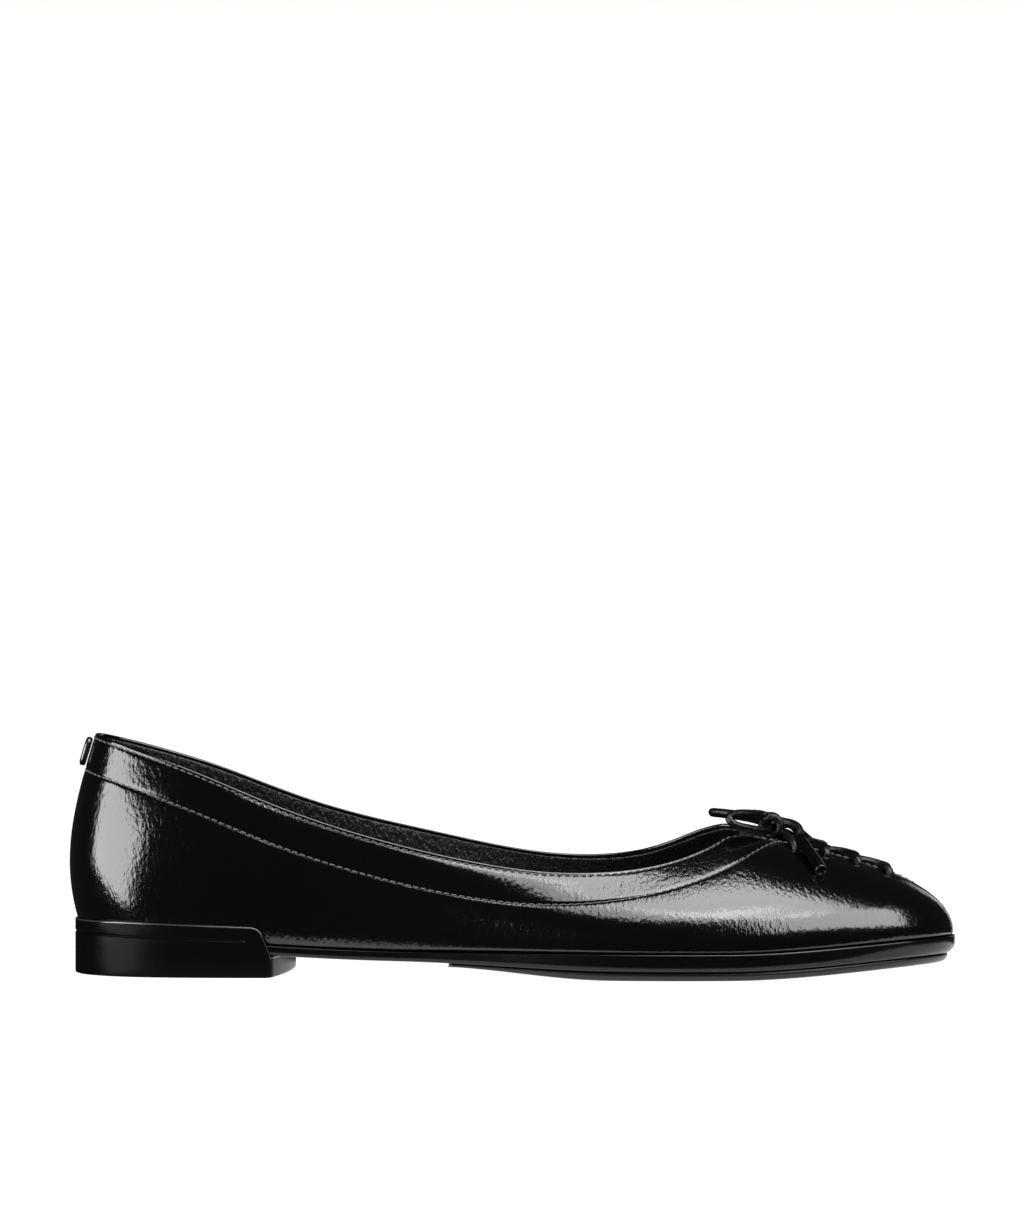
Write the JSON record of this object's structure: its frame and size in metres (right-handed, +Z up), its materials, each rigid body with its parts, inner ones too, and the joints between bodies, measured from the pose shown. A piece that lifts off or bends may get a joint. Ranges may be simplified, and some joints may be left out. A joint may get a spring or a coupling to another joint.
{
  "type": "ballet flat",
  "caption": "Right ballet flat in glossy black leather, with a laced slit in the vamp, a cord bow, a covered sole edge and a low heel block.",
  "frame": {"origin": "on the floor, under the middle of the box round the shoe without its bow", "axes": "+X toward the toe, +Y toward the inner side of the foot, +Z up"},
  "size_m": [0.2494, 0.0772, 0.0675],
  "materials": {
    "upper_leather": "glazed to a high gloss",
    "lining": "fine matte grain",
    "sole_edge": "glossy covered edge",
    "outsole": "satin",
    "heel": "lacquered",
    "cord": "fine round cord, satin",
    "lace_tip": "glossy",
    "dark_metal": "dark polished"
  },
  "bodies": {
    "root": {"upper": "upper_leather", "insole": "lining", "midsole": "sole_edge", "outsole": "outsole", "heel": "heel", "tongue": "lining", "lacing_1": "cord", "lacing_2": "cord", "lacing_3": "cord", "bow_knot": "cord", "bow_loop_outer": "cord", "bow_loop_inner": "cord", "bow_tail_outer": "cord", "bow_tail_inner": "cord", "aglet_outer": "lace_tip", "aglet_inner": "lace_tip", "back_bar": "dark_metal"}
  },
  "joints": []
}
